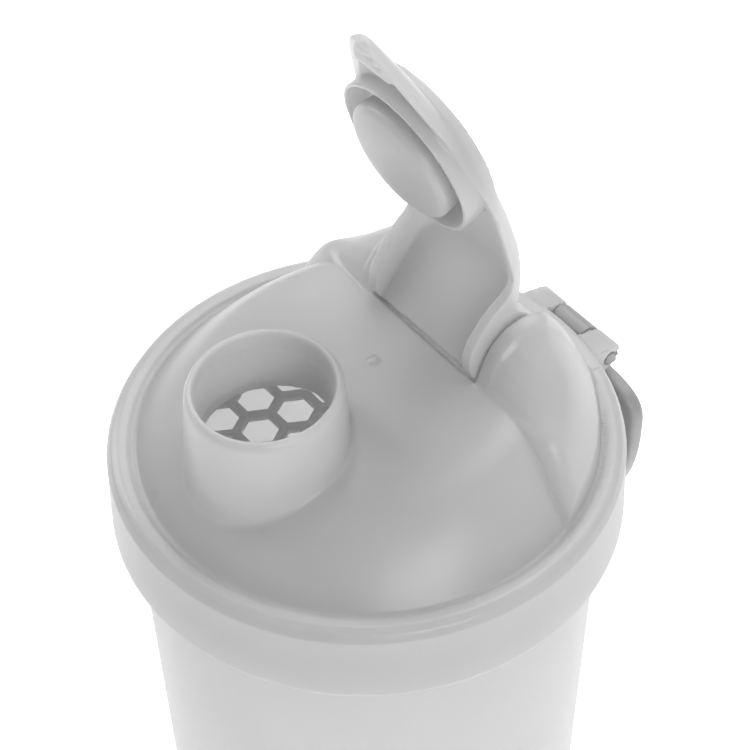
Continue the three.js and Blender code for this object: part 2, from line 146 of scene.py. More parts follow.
# ---- meshes --------------------------------------------------------------------------------------
def make(name, points, faces, normals=None, sharp=None):
    """A mesh object from points in millimetres in the row frame."""
    mesh = bpy.data.meshes.new(name)
    mesh.from_pydata((np.asarray(points, float) * MM).tolist(), [], faces)
    mesh.validate()
    mesh.polygons.foreach_set("use_smooth", np.ones(len(mesh.polygons), bool))
    if sharp is not None:
        mesh.set_sharp_from_angle(angle=math.radians(sharp))
    if normals is not None:
        mesh.normals_split_custom_set_from_vertices(normals.tolist())
    mesh.update()
    piece = bpy.data.objects.new(name, mesh)
    bpy.context.scene.collection.objects.link(piece)
    return piece


# the twelve edges of a cell, each as its two corners
EDGES = [
    (corner, tuple(c + (k == axis) for k, c in enumerate(corner)))
    for axis in range(3)
    for corner in [(i, j, k) for i in (0, 1) for j in (0, 1) for k in (0, 1)]
    if corner[axis] == 0
]


def gradient(field, p, reach):
    """The field's slope at the points p, measured over reach to either side."""
    columns = []
    for axis in range(3):
        shift = np.zeros(3)
        shift[axis] = reach
        columns.append(field(*(p + shift).T) - field(*(p - shift).T))
    return np.stack(columns, 1) / (2 * reach)


def surface(field, low, high, step):
    """Points, quads and normals of field(x, y, z) = 0, where field is negative inside the solid."""
    low = np.array(low, float)
    count = np.ceil((np.array(high, float) - low) / step).astype(int) + 1
    x, y, z = (low[k] + step * np.arange(count[k]) for k in range(3))
    d = field(x[:, None, None], y[None, :, None], z[None, None, :])
    d = np.broadcast_to(d, count).astype(np.float32)
    inside = d < 0
    some = np.zeros(count - 1, bool)
    every = np.ones(count - 1, bool)
    for i in (0, 1):
        for j in (0, 1):
            for k in (0, 1):
                part = inside[i:count[0] - 1 + i, j:count[1] - 1 + j, k:count[2] - 1 + k]
                some |= part
                every &= part
    mixed = some & ~every
    cells = np.argwhere(mixed)
    index = np.full(count - 1, -1)
    index[mixed] = np.arange(len(cells))
    total = np.zeros((len(cells), 3))
    hits = np.zeros(len(cells))
    for a, b in EDGES:
        da = d[tuple((cells + a).T)]
        db = d[tuple((cells + b).T)]
        hit = (da < 0) != (db < 0)
        t = np.where(hit, da / np.where(hit, da - db, 1), 0)
        total += hit[:, None] * (np.array(a) + t[:, None] * (np.array(b) - np.array(a)))
        hits += hit
    points = low + step * (cells + total / hits[:, None])
    quads = []
    for axis in range(3):
        u, v = (axis + 1) % 3, (axis + 2) % 3
        first = np.take(inside, range(count[axis] - 1), axis)
        second = np.take(inside, range(1, count[axis]), axis)
        at = np.argwhere(first != second)
        past = (at[:, u] > 0) & (at[:, v] > 0)
        at = at[past & (at[:, u] < count[u] - 1) & (at[:, v] < count[v] - 1)]
        eu, ev = np.eye(3, dtype=int)[u], np.eye(3, dtype=int)[v]
        shifts = (eu + ev, ev, np.zeros(3, int), eu)
        corners = [index[tuple((at - shift).T)] for shift in shifts]
        quad = np.stack(corners, 1)
        outward = first[tuple(at.T)]
        quads.append(np.where(outward[:, None], quad, quad[:, ::-1]))
    # a few careful Newton steps put the points on the surface itself
    for _ in range(3):
        g = gradient(field, points, 0.1)
        value = field(*points.T)
        move = (value / np.maximum((g * g).sum(1), 1e-6))[:, None] * g
        size = np.linalg.norm(move, axis=1, keepdims=True)
        points = points - move * np.minimum(1, 0.35 * step / np.maximum(size, 1e-9))
    g = gradient(field, points, 0.2)
    normals = g / np.maximum(np.linalg.norm(g, axis=1, keepdims=True), 1e-9)
    return points, np.concatenate(quads), normals


def carved(name, field, low, high, step, place=None):
    """A piece meshed from a field, moved from its own frame by place (a 4x4 matrix in millimetres)."""
    points, quads, normals = surface(field, low, high, step)
    if place is not None:
        m = np.array(place)
        points = points @ m[:3, :3].T + m[:3, 3]
        normals = normals @ m[:3, :3].T
    return make(name, points, quads.tolist(), normals=normals)


def rounded(profile, radius):
    """A closed profile whose corners are rounded; a third value on a corner is its own radius."""
    out = []
    count = len(profile)
    for i, corner in enumerate(profile):
        v = np.array(corner[:2], float)
        own = corner[2] if len(corner) > 2 else radius
        before = np.array(profile[i - 1][:2], float) - v
        after = np.array(profile[(i + 1) % count][:2], float) - v
        if v[0] < 1e-6 or own <= 0:
            out.append(v)
            continue
        cut = min(own, 0.45 * np.linalg.norm(before), 0.45 * np.linalg.norm(after))
        p = v + before / np.linalg.norm(before) * cut
        q = v + after / np.linalg.norm(after) * cut
        out += [p * (1 - t) ** 2 + 2 * v * t * (1 - t) + q * t * t for t in np.linspace(0, 1, 6)]
    return out


def subdivided(profile, longest):
    """A closed profile with no side longer than longest."""
    out = []
    for a, b in zip(profile, profile[1:] + profile[:1]):
        parts = max(1, int(np.ceil(np.linalg.norm(b - a) / longest)))
        out += [a + (b - a) * k / parts for k in range(parts)]
    return out


SHARP_ANGLE = 40


def turned(name, profile, around=180, radius=0.5, longest=6.0, bulge=None):
    """A turned piece; bulge(angle, r, z) moves its surface outwards."""
    profile = subdivided(rounded(profile, radius), longest)
    points, faces, rings = [], [], []
    angle = 2 * np.pi * np.arange(around) / around
    for r, z in profile:
        if r < 1e-6:
            rings.append([len(points)] * around)
            points.append((0, 0, z))
            continue
        wide = r + (bulge(angle, r, z) if bulge else 0 * angle)
        rings.append(list(range(len(points), len(points) + around)))
        points += np.stack([wide * np.cos(angle), wide * np.sin(angle), z + 0 * angle], 1).tolist()
    for low, high in zip(rings, rings[1:] + rings[:1]):
        if low[0] == low[1] and high[0] == high[1]:
            continue
        for i in range(around):
            j = (i + 1) % around
            face = [low[i], low[j], high[j], high[i]]
            faces.append([v for k, v in enumerate(face) if v != face[k - 1]])
    return make(name, points, faces, sharp=SHARP_ANGLE)


# ---- materials -----------------------------------------------------------------------------------
def plastic(name, grey, rough, grain, through, uneven=0.03):
    """Moulded plastic: a glossy skin over a milky body that lets through a share of the light."""
    material = bpy.data.materials.new(name)
    material.use_nodes = True
    tree = material.node_tree
    shader = tree.nodes["Principled BSDF"]
    inputs = shader.inputs
    inputs["IOR"].default_value = 1.49
    inputs["Subsurface Weight"].default_value = 0.4
    inputs["Subsurface Radius"].default_value = (1, 1, 1)
    inputs["Subsurface Scale"].default_value = 4 * MM

    def node(kind, **values):
        made = tree.nodes.new(kind)
        for key, value in values.items():
            if hasattr(made, key):
                setattr(made, key, value)
            else:
                made.inputs[key.replace("_", " ")].default_value = value
        return made

    place = node("ShaderNodeTexCoord")
    flow = node("ShaderNodeTexNoise", Scale=28.0, Detail=3.0, Roughness=0.5, Distortion=0.4)
    fine = node("ShaderNodeTexNoise", Scale=grain, Detail=2.0, Roughness=0.6)
    for texture in (flow, fine):
        tree.links.new(place.outputs["Object"], texture.inputs["Vector"])
    tint = node("ShaderNodeValToRGB")
    tint.color_ramp.elements[0].position = 0.3
    tint.color_ramp.elements[1].position = 0.7
    tint.color_ramp.elements[0].color = (*[grey * (1 - uneven)] * 3, 1)
    tint.color_ramp.elements[1].color = (*[grey * (1 + uneven)] * 3, 1)
    tree.links.new(flow.outputs["Fac"], tint.inputs["Fac"])
    tree.links.new(tint.outputs["Color"], inputs["Base Color"])
    gloss = node("ShaderNodeMapRange", From_Min=0.3, From_Max=0.7,
                 To_Min=rough * 0.88, To_Max=rough * 1.12)
    tree.links.new(flow.outputs["Fac"], gloss.inputs["Value"])
    tree.links.new(gloss.outputs["Result"], inputs["Roughness"])
    bump = node("ShaderNodeBump", Strength=0.12, Distance=0.00004)
    tree.links.new(fine.outputs["Fac"], bump.inputs["Height"])
    tree.links.new(bump.outputs["Normal"], inputs["Normal"])
    glow = node("ShaderNodeBsdfTranslucent", Color=(0.92, 0.92, 0.92, 1))
    blend = node("ShaderNodeMixShader")
    blend.inputs[0].default_value = through
    tree.links.new(shader.outputs["BSDF"], blend.inputs[1])
    tree.links.new(glow.outputs["BSDF"], blend.inputs[2])
    tree.links.new(blend.outputs["Shader"], tree.nodes["Material Output"].inputs["Surface"])
    return material


FROSTED = plastic("frosted_plastic", 0.53, 0.30, 2600.0, through=0.36)
CLEAR = plastic("clear_frosted_plastic", 0.66, 0.20, 2200.0, through=0.55)
WEBBED = plastic("strainer_plastic", 0.66, 0.32, 3000.0, through=0.50)
# the satin plastic is the lid's plastic made darker (grey 0.28 against 0.53) to paint the shade on the
# carry loop; the pin and the tray get the same painted shade
SATIN_PAINTED_SHADE = plastic("satin_plastic_painted_shade", 0.28, 0.34, 3000.0, through=0.12)
SILICONE = plastic("soft_silicone", 0.50, 0.36, 3600.0, through=0.25)


def dress(piece, material, slot, body, *nodes):
    """Give a piece its material, the body it rides on and the CAD nodes it stands for; slot is not
    used.
    """
    piece.data.materials.clear()
    piece.data.materials.append(material)
    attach(piece, body)
    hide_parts(*nodes)
    return piece


# ---- lid -----------------------------------------------------------------------------------------
# the skirt and bead in section, drawn inside its final outline by the radius of its corners
BAND_ROUND = 0.8
BAND = [(RING_R - 0.4, 0.8), (48.8, 0.8), (49.2, 1.4), (48.7, 15.6), (48.1, 16.7), (47.1, 17.25),
        (45.9, 17.1), (45.0, 16.4), (43.6, 15.2), (RING_R - 0.4, 15.2)]
# the cheeks' upper edge beside the slot, seen from the side: (y, z)
cheek_edge = curve([(13.2, 29), (13.6, 34.6), (14.7, 38.2), (16.9, 41.9), (20.4, 44.4), (24, 45.2),
                    (27.6, 44.6), (30, 43.0), (32, 40.2), (34.2, 36.7), (36.5, 32.2), (38.5, 28.0),
                    (44, 16.5)], 0.5)
# where the dome ends under the bead, and the slopes of its walls: in front of the hinge housing, how
# much that turns with the direction, beside the housing, and the step at the foot there
DOME_EDGE_R = 45.6
WALL_SLOPE, WALL_TURN, STEEP_SLOPE, STEEP_FOOT = 1.3, 0.33, 2.15, 4.5
# the hollow's foot in the ring, and its flat ceiling below the housing
HOLLOW_Z, CEILING_Z = 14.5, 26.6
# on a cheek: where its rim ends and how far it sinks there, and the curve down into the deck
RIM_X, RIM_SINK = NOTCH_X + 2.6, 0.8
CHEEK_BLEND = 4.0


def deck_height(x, y):
    return DECK_Z + DECK_SLOPE * y - DECK_CROWN * x * x


def dome_height(x, y):
    """Outside of the lid from above: deck, walls, hinge housing with its cheeks, and bead."""
    r = np.hypot(x, y)
    out = GROOVE_R - r
    gentle = GROOVE_Z + out * (WALL_SLOPE + WALL_TURN * y / np.maximum(r, 1e-6))
    steep = GROOVE_Z + STEEP_FOOT * smooth(-1.0, 0.4, out) + out * STEEP_SLOPE
    part = 1 - (1 - np.clip((y - HOUSING_Y) / 5, 0, 1)) ** 2
    dome = soft_min(deck_height(x, y), gentle + (steep - gentle) * part, DECK_BLEND)
    side = np.clip((np.abs(x) - NOTCH_X) / (CHEEK_SIDE - NOTCH_X), 0, 1)
    in_line = np.sqrt(np.maximum(r * r - NOTCH_X ** 2, 0))
    edge = smin(cheek_edge(y - 3 * side * side), cheek_edge(np.maximum(in_line, 24)), 1.6)
    lean = 1 - smooth(0, 1, side)
    above = smax(edge - dome, 0, CHEEK_BLEND) * smooth(0, 8, y)
    sunk = RIM_SINK * smooth(RIM_X, RIM_X + 1.4, np.abs(x)) * (1 - smooth(0.15, 0.7, side))
    sunk = sunk * smooth(0.6, 2.5, above)
    return dome + above * lean - sunk


def hollow_height(x, y):
    """Underside of the dome: it follows the deck, and is flat below the hinge housing."""
    r = np.hypot(x, y)
    deck = deck_height(x, y) - LID_WALL
    deck = deck + (CEILING_Z - deck) * smooth(4, 11, y)
    return soft_min(deck, HOLLOW_Z + (RING_R - r) * WALL_SLOPE, DECK_BLEND)


def upright(height, x, y, z):
    """Distance-like field under a height map."""
    reach = 0.25
    h = height(x, y)
    hx = (height(x + reach, y) - height(x - reach, y)) / (2 * reach)
    hy = (height(x, y + reach) - height(x, y - reach)) / (2 * reach)
    return (z - h) / np.sqrt(1 + hx * hx + hy * hy)


# the slot's floor behind the hinge: its height at the rear, its rise, and how far back it runs
FLOOR_Z, FLOOR_RISE, FLOOR_LENGTH = 17.4, 13.2, 23.2


def slot_field(x, y, z):
    """The slot between the cheeks: round about the hinge, then open to the rear over a curved floor."""
    front = HINGE_Y - NOTCH_R
    corner = 2.6
    floor = FLOOR_Z + FLOOR_RISE * np.sqrt(1 - np.clip((y - HINGE_Y) / FLOOR_LENGTH, 0, 1) ** 2)
    side = np.minimum(np.hypot(y - HINGE_Y, z - HINGE_Z) - NOTCH_R,
                      np.maximum(np.abs(y - HINGE_Y) - NOTCH_R, HINGE_Z - z))
    side = smin(side, np.maximum(HINGE_Y - y, floor - z), 0.6)
    side = np.where(y > HINGE_Y, np.minimum(side, floor - z), side)
    q = np.abs(x) - NOTCH_X + corner
    w = front + corner - y
    plan = np.hypot(np.maximum(q, 0), np.maximum(w, 0)) + np.minimum(np.maximum(q, w), 0) - corner
    return np.maximum(side, plan)


# a lug in section (y, z), its place and half width in x, and the hole through it for the pin
LUG = [(47, 9), (47, 16), (49.4, 15.4), (53.4, 14.5), (55.6, 13.6), (55.5, 12.9),
       (54.9, 12.6), (55.2, 11.2), (54.4, 9.8), (53, 9.3)]
LUG_X, LUG_HALF, PIN_HOLE_R = 8, 3.3, 1.6
# the spout leans in above its foot, and its rim rises towards the hinge
SPOUT_FOOT_Z, SPOUT_DRAFT_Z, SPOUT_LOW_Z, RIM_LIFT, RIM_TILT = 26, 27.2, 20, 0.5, 0.06
# the ring that holds the strainer, in section
RING_MIDDLE_R, RING_HALF, RING_LOW_Z = 41.9, 0.9, 6
# the small mark on the deck
NUB, NUB_R = (-1.3, 3.2), 1.1


def spout_rim(y):
    """Height of the spout's rim, which rises a little towards the hinge."""
    return SPOUT_TOP + RIM_LIFT + RIM_TILT * (y - SPOUT_Y)


def lid_field(x, y, z):
    """The lid: dome and skirt, spout, nub and lugs, less the slot, bore, holes and hollow."""
    r = np.hypot(x, y)
    dome = smax(upright(dome_height, x, y, z), r - DOME_EDGE_R, 0.6)
    d = smin(dome, polygon(r, z, BAND) - BAND_ROUND, 0.9)
    across = np.hypot(x, y - SPOUT_Y)
    draft = (SPOUT_FOOT_R - SPOUT_R) / (SPOUT_TOP - SPOUT_DRAFT_Z)
    spout = smax(across - SPOUT_FOOT_R + (z - SPOUT_FOOT_Z) * draft, z - spout_rim(y), 2.4)
    spout = np.maximum(spout, SPOUT_LOW_Z - z)
    d = smin(d, spout, 1.1)
    nub = np.hypot(np.hypot(x - NUB[0], y - NUB[1]), (z - deck_height(*NUB)) * 2) - NUB_R
    d = smin(d, nub, 0.4)
    lug = np.maximum(polygon(y, z, LUG), np.abs(np.abs(x) - LUG_X) - LUG_HALF)
    d = smin(d, lug, 0.5)
    d = smax(d, -slot_field(x, y, z), 0.7)
    stub = cylinder(y - HINGE_Y, z - HINGE_Z, STUB_HOLE_R, np.abs(x), STUB_FROM_X, 17.9)
    d = np.maximum(d, -stub)
    bore = across - BORE_R - np.clip(BORE_FOOT_Z + 0.2 - z, 0, BORE_FOOT_R - BORE_R)
    # the bore widens a little just below the rim
    bore = bore - 0.35 * smooth(SPOUT_TOP - 4.2, SPOUT_TOP - 3.6, z)
    d = smax(d, -np.maximum(bore, 15 - z), 1.0)
    crest = crests(THREAD_HEIGHT, np.arctan2(y, x), z, (1.2, 3.0), (10.5, 12.5))
    cavity = smax(r - SKIRT_IN_R + crest, z - SKIRT_IN_TOP, 0.6)
    ring = np.maximum(np.abs(r - RING_MIDDLE_R) - RING_HALF, RING_LOW_Z - z)
    cavity = np.maximum(cavity, -ring)
    hollow = np.maximum(upright(hollow_height, x, y, z), r - RING_R)
    d = smax(d, -np.minimum(cavity, hollow), 0.5)
    pin = cylinder(y - LOOP_Y, z - LOOP_Z, PIN_HOLE_R, x, -10.3, 12)
    return np.maximum(d, -pin)


def lid_space(x, y, z):
    return lid_field(x, y, z - LID_Z)


lid = carved("lid_shell", lid_space, (-51, -51, LID_Z - 1), (51, 56.6, LID_Z + 47), 0.62)
dress(lid, FROSTED, "frosted", "lid", "lid")

# ---- flip cap: s forward, t up about the hinge axis, closed; then opened to its rest angle --------
# its lower rim, its crown and half its width, along s
cap_rim = curve([(-3.4, -6.9), (0, -7.7), (3.5, -6.9), (5.8, -5.2), (7.4, -3.3), (9.2, -1.2),
                 (10.4, 1.4), (11.2, 4), (12.4, 5.5), (15, 6.2), (33, 5.7), (52, 3.7), (66, 1.3),
                 (73.8, 0.2)], 0.5)
cap_crown = curve([(4, 11.6), (8, 12), (12, 12.8), (18, 12.9), (27, 12.2), (39, 10.7), (49, 8.8),
                   (58, 6.7), (66, 4.5), (73, 2.3), (73.8, 1.8)], 1.2)
cap_half = curve([(6, 14.95), (9, 15.0), (12, 15.4), (17, 16.3), (26, 17.2), (36, 17.7), (43, 17.4),
                  (49, 15.8), (54, 13.3), (60, 9.9), (65.7, 7), (69, 5.3), (72, 3.7), (73.8, 2.2)], 1.2)
# how far the cap's sides are below its crown, and how much less that is at the tip
ARCH, ARCH_LOST = 3.9, 2.5
# the plug and collar stand over the spout when the cap is closed
PLUG_S = HINGE_Y - SPOUT_Y
CAP_TIP = 73.8
# the grip ridges: where they start, their spacing and their depth
TEETH_FROM, TOOTH, TOOTH_DEPTH = 66.0, 1.95, 0.9
# the sloping plate at the rear: a point on it and its direction, as (s, t)
PLATE_AT, PLATE_NORMAL = (8.1, 11.5), (-0.842, 0.538)
# the collar's middle radius and half its wall, and the post inside it that holds the plug
COLLAR_R, COLLAR_HALF = 15.42, 0.38
POST_R = 3.2


def cap_top(s, x, sink):
    """The cap's arched top, sink below its outside."""
    half = cap_half(s)
    arch = ARCH - ARCH_LOST * smooth(20, 75, s)
    u = np.clip(np.abs(x) / half, 0, 1.1)
    return cap_crown(s) - sink - arch * u ** 2.4


def cap_shell(x, s, t, inset):
    """The cap's outside, or with an inset its hollow."""
    top = (t - cap_top(s, x, inset)) * 0.93
    side = (np.abs(x) - cap_half(np.maximum(s, 6)) + inset) * 0.95
    plate = (s - PLATE_AT[0]) * PLATE_NORMAL[0] + (t - PLATE_AT[1]) * PLATE_NORMAL[1] + inset
    taper = 1 - smooth(45, 68, s)
    d = smax(top, side, 1.6 + (1.4 if inset else 4.4) * taper)
    return smax(d, plate, 2.0 if inset == 0 else 0.7)


def cap_field(x, y, t):
    """The cap: shell, hollow, ears with their stubs, collar round the plug, and the post in it."""
    s = -y
    tooth = np.abs((s - TEETH_FROM) / TOOTH % 1 - 0.5) * 2
    teeth = TOOTH_DEPTH * tooth * smooth(TEETH_FROM - 0.2, TEETH_FROM + 0.2, s)
    teeth = teeth * (1 - smooth(-2.4, -1.6, np.abs(x) - cap_half(s)))
    rim = (cap_rim(s) - teeth - t) * 0.75
    d = smax(cap_shell(x, s, t, 0), rim, 0.4)
    d = smax(d, s - CAP_TIP, 1.2)
    hollow = smax(cap_shell(x, s, t, WALL), s - 66, 1.0)
    across = np.hypot(s - PLUG_S, x)
    seat = np.maximum(across - SPOUT_R - 0.4, t - spout_rim(HINGE_Y - s) + HINGE_Z - 0.3)
    d = smax(d, -np.minimum(hollow, seat), 0.5)
    ear = np.maximum(np.hypot(s, t) - EAR_R, np.abs(np.abs(x) - EAR_X + WALL / 2) - WALL / 2)
    d = smin(d, ear, 0.4)
    stub = cylinder(s, t, STUB_R, np.abs(x), STUB_FROM_X, 17.4)
    d = smin(d, stub, 0.3)
    collar = np.maximum(np.abs(across - COLLAR_R) - COLLAR_HALF, np.maximum(0.9 - t, t - 8))
    d = smin(d, collar, 0.6)
    post = np.maximum(across - POST_R, np.maximum(3.2 - t, t - 9))
    return smin(d, post, 0.5)


CAP_PLACE = (Matrix.Translation((0, HINGE_Y, HINGE_Z + LID_Z)) @ Matrix.Rotation(-CAP_OPEN, 4, "X"))
cap = carved("cap_shell", cap_field, (-19, -75.5, -9), (19, 10, 15), 0.38, CAP_PLACE)
dress(cap, FROSTED, "frosted", "cap", "flip_cap")

PLUG_R, PLUG_LOW = 12, -1.2
plug = turned("plug", [
    (0, PLUG_LOW - 1.6), (5, PLUG_LOW - 1.4, 2), (9, PLUG_LOW - 0.7, 2),
    (PLUG_R - 0.7, PLUG_LOW + 0.3, 0.8), (PLUG_R, PLUG_LOW + 1.2, 0.6), (PLUG_R, PLUG_LOW + 2.2),
    (PLUG_R - 0.4, 4.6, 0.3), (PLUG_R - 2, 4.6, 0.3), (PLUG_R - 2.2, PLUG_LOW + 3.2),
    (5.7, PLUG_LOW + 3.4), (5.7, 5, 0.3), (3.5, 5, 0.3), (3.5, 2.9), (0, 2.9)], around=120, longest=1.5)
plug.data.transform(Matrix.Translation(Vector((0, -PLUG_S, 0)) * MM))
place = CAP_PLACE.copy()
place.translation = place.translation * MM
plug.data.transform(place)
dress(plug, SILICONE, "silicone", "cap", "spout_plug")

# ---- carry loop and its pin ----------------------------------------------------------------------
# heights of its widest line, top and foot; half its width there; its bar's width and thickness
LOOP_MIDDLE, LOOP_TOP, LOOP_LOW = -2, 7.8, -32
LOOP_HALF, LOOP_BAR, LOOP_THICK = 20.4, 4.6, 3.4
KNUCKLE_R, KNUCKLE_HALF = 3, 4.3
PIN_R, PIN_FROM_X, PIN_TO_X = 1.3, -10, 11.3


def stirrup(x, z, inset):
    """Field of the stirrup outline: flat-topped above its widest line, long below it.

    It is divided by its own slope, so that it runs on evenly across the widest line.
    """
    up = z > LOOP_MIDDLE
    tall = np.where(up, LOOP_TOP - LOOP_MIDDLE, LOOP_MIDDLE - LOOP_LOW) - inset
    power = np.where(up, 3.4, 2.3)
    wide = LOOP_HALF - inset
    across, along = np.abs(x) / wide, np.abs(z - LOOP_MIDDLE) / tall
    size = np.maximum((across ** power + along ** power) ** (1 / power), 1e-6)
    slope = np.hypot((across / size) ** (power - 1) / wide, (along / size) ** (power - 1) / tall)
    return (size - 1) / np.maximum(slope, 1e-6)


def loop_field(x, y, z):
    """The stirrup with its rounded bar, and the knuckle on the pin with the web between them."""
    middle = LOOP_Y + 0.3
    ring = smax(stirrup(x, z, 0), -stirrup(x, z, LOOP_BAR), 2.4)
    d = smax(ring, np.abs(y - middle) - LOOP_THICK / 2, 1.2)
    knuckle = cylinder(y - LOOP_Y, z - LOOP_Z, KNUCKLE_R, x, -KNUCKLE_HALF, KNUCKLE_HALF)
    web = np.maximum(np.abs(x) - KNUCKLE_HALF, np.abs(y - middle) - LOOP_THICK / 2)
    web = np.maximum(web, np.abs(z - LOOP_TOP) - 2.8)
    d = smin(d, smin(knuckle, web, 0.8), 0.8)
    return np.maximum(d, PIN_HOLE_R - np.hypot(y - LOOP_Y, z - LOOP_Z))


def loop_space(x, y, z):
    return loop_field(x, y, z - LID_Z)


loop = carved("loop", loop_space, (-21.5, 49, LID_Z - 33), (21.5, 57, LID_Z + 15.5), 0.4)
dress(loop, SATIN_PAINTED_SHADE, "satin", "loop", "carry_loop")

pin = turned("pin", [(0, PIN_FROM_X, 0.3), (PIN_R, PIN_FROM_X, 0.3), (PIN_R, PIN_TO_X, 0.3),
                     (0, PIN_TO_X, 0.3)], around=48, longest=2)
pin.data.transform(Matrix.Rotation(math.pi / 2, 4, "Y"))
pin.data.transform(Matrix.Translation(Vector((0, LOOP_Y, LOOP_Z + LID_Z)) * MM))
dress(pin, SATIN_PAINTED_SHADE, "satin", "lid", "loop_pin")

# ---- strainer ------------------------------------------------------------------------------------
# its radius, the spacing of its holes, half a hole's width, and how far out a hole's centre may be
STRAINER_R, HEX_PITCH, HEX_FLAT = 40.6, 8.5, 3.33
HEX_REACH = STRAINER_R - 6.45
NO_HOLE = 99.0
# the middle height and half the thickness of the plate, and of the snap rim round it
PLATE_Z, PLATE_HALF, SNAP_Z, SNAP_HALF = 11.1, 0.9, 9.4, 2.8


def hex_holes(x, y):
    """Field of the holes' lattice: negative inside a hole."""
    column = HEX_PITCH * math.sqrt(3) / 2
    offset = HEX_PITCH / math.sqrt(3)
    best = np.full(np.broadcast(x, y).shape, NO_HOLE)
    for shift in (0, 1):
        i = np.round(((x - offset) / column - shift) / 2) * 2 + shift
        j = np.round(y / HEX_PITCH - shift / 2) + shift / 2
        cx, cy = i * column + offset, j * HEX_PITCH
        a, b = np.abs(x - cx), np.abs(y - cy)
        hole = np.maximum(b, a * math.sqrt(3) / 2 + b / 2) - HEX_FLAT
        hole = np.where(np.hypot(cx, cy) > HEX_REACH, NO_HOLE, hole)
        best = np.minimum(best, hole)
    return best


def strainer_field(x, y, z):
    """The plate with its holes, and the snap rim round it."""
    r = np.hypot(x, y)
    plate = np.maximum(np.abs(z - PLATE_Z) - PLATE_HALF, r - STRAINER_R + 1)
    plate = smax(plate, -hex_holes(x, y), 0.6)
    rim = np.maximum(np.abs(r - STRAINER_R + 1) - 1, np.abs(z - SNAP_Z) - SNAP_HALF)
    return smin(plate, rim, 0.5)


def strainer_space(x, y, z):
    return strainer_field(x, y, z - LID_Z)


strainer = carved("strainer_plate", strainer_space,
                  (-42, -42, LID_Z + 5.8), (42, 42, LID_Z + 13.2), 0.45)
dress(strainer, WEBBED, "satin", "strainer", "strainer")

# ---- bottle, cups, tray and seals ----------------------------------------------------------------
POWDER_TOP_Z, POWDER_LOW_Z, POWDER_R = 55.5, 25.4, 43.1
PILL_TOP_Z, PILL_R, BASE_R = 24.9, 42.3, 41.2
# how deep a cup's socket is, and how far in from the cup's side a foot ring is
SOCKET, FOOT_INSET = 10, 3.7
# heights from a cup's top: where the foot ring's and the socket's threads fade in and out
FOOT_FADE = (-8.2, -7.0), (-1.6, -0.4)
SOCKET_FADE = (-9.0, -8.0), (-2.2, -1.0)


def foot_ring(radius, z, floor):
    """Profile of a floor and of the ring below it that screws into the socket of the cup at z."""
    return [(0, floor), (radius - FOOT_INSET - 3, floor), (radius - FOOT_INSET - 2.4, z - 8.7, 0.5),
            (radius - FOOT_INSET - 0.2, z - 8.7, 0.6), (radius - FOOT_INSET, z + 0.5, 0.2)]


def foot_thread(angle, r, z, radius, top):
    """The thread outside the foot ring that goes into the cup of that radius and top."""
    ring = crests(CUP_THREAD_HEIGHT, angle, z - top, *FOOT_FADE)
    return np.where(abs(r - radius + FOOT_INSET) < 0.3, ring, 0)


def socket_thread(angle, r, z, radius, top):
    """The thread inside the socket of the cup of that radius and top."""
    socket = crests(-CUP_THREAD_HEIGHT, angle, z - top, *SOCKET_FADE, phase=math.pi)
    return np.where(abs(r - radius + 2.5) < 0.2, socket, 0)


def bottle_thread(angle, r, z):
    """The neck's thread, and the thread on the foot ring."""
    neck = crests(THREAD_HEIGHT, angle, z - LID_Z, (0.8, 2.4), (9.0, 10.8), phase=math.pi)
    neck = np.where(abs(r - NECK_R) < 0.15, neck, 0)
    return neck + foot_thread(angle, r, z, POWDER_R, POWDER_TOP_Z)


bottle = turned("bottle_wall", [
    *foot_ring(POWDER_R, POWDER_TOP_Z, POWDER_TOP_Z + 0.1),
    (BODY_LOW_R - 0.5, BODY_LOW_Z, 0.3), (BODY_LOW_R, BODY_LOW_Z + 0.5, 0.5),
    (BODY_TOP_R, LID_Z - 3, 0.4), (NECK_R, LID_Z - 1, 0.4),
    (NECK_R, LID_Z + NECK_TOP, 0.8), (NECK_R - WALL, LID_Z + NECK_TOP, 0.8),
    (NECK_R - WALL, LID_Z - 2, 0.5), (BODY_LOW_R - WALL, BODY_FLOOR_Z + 3.2, 2),
    (BODY_LOW_R - WALL - 2, BODY_FLOOR_Z + 0.6, 1.5), (0, BODY_FLOOR_Z)],
    around=240, longest=0.9, bulge=bottle_thread)
dress(bottle, CLEAR, "clear", "bottle", "bottle")


def storage_cup(name, top, radius, base_radius, base, floor, foot, bulge):
    """A cup with a threaded socket in its top; foot is the start of its profile, below its base."""
    socket = top - SOCKET
    return turned(name, [
        *foot,
        (base_radius, base + 1, 0.8), (radius, top - 0.4, 0.3), (radius - 0.4, top, 0.3),
        (radius - 2.4, top, 0.4), (radius - 2.6, socket, 0.3), (radius - 5.4, socket, 0.3),
        (radius - 5.4, socket - 1, 0.3), (radius - 3.6, socket - 3, 0.6),
        (base_radius - 2.4, floor + 2, 1.5), (base_radius - 4.4, floor, 1.5), (0, floor)],
        around=240, longest=0.9, bulge=bulge)


def powder_thread(angle, r, z):
    foot = foot_thread(angle, r, z, PILL_R, PILL_TOP_Z)
    return foot + socket_thread(angle, r, z, POWDER_R, POWDER_TOP_Z)


def pill_thread(angle, r, z):
    return socket_thread(angle, r, z, PILL_R, PILL_TOP_Z)


powder = storage_cup(
    "powder_wall", POWDER_TOP_Z, POWDER_R, PILL_R + 0.1, POWDER_LOW_Z, POWDER_LOW_Z + 2,
    [*foot_ring(PILL_R, PILL_TOP_Z, POWDER_LOW_Z - 0.2), (PILL_R - 0.6, POWDER_LOW_Z, 0.3)],
    powder_thread)
dress(powder, CLEAR, "clear", "powder_cup", "powder_cup")
pills = storage_cup("pill_wall", PILL_TOP_Z, PILL_R, BASE_R, 0, 2.2, [(0, 0), (BASE_R - 1.2, 0, 0.8)],
                    pill_thread)
dress(pills, CLEAR, "clear", "pill_cup", "pill_cup")


def seal(name, inner, outer, low, high, body, node):
    """A flat ring seal."""
    ring = [(inner, low), (outer, low), (outer, high), (inner, high)]
    dress(turned(name, ring, radius=0.3, longest=1), SILICONE, "silicone", body, node)


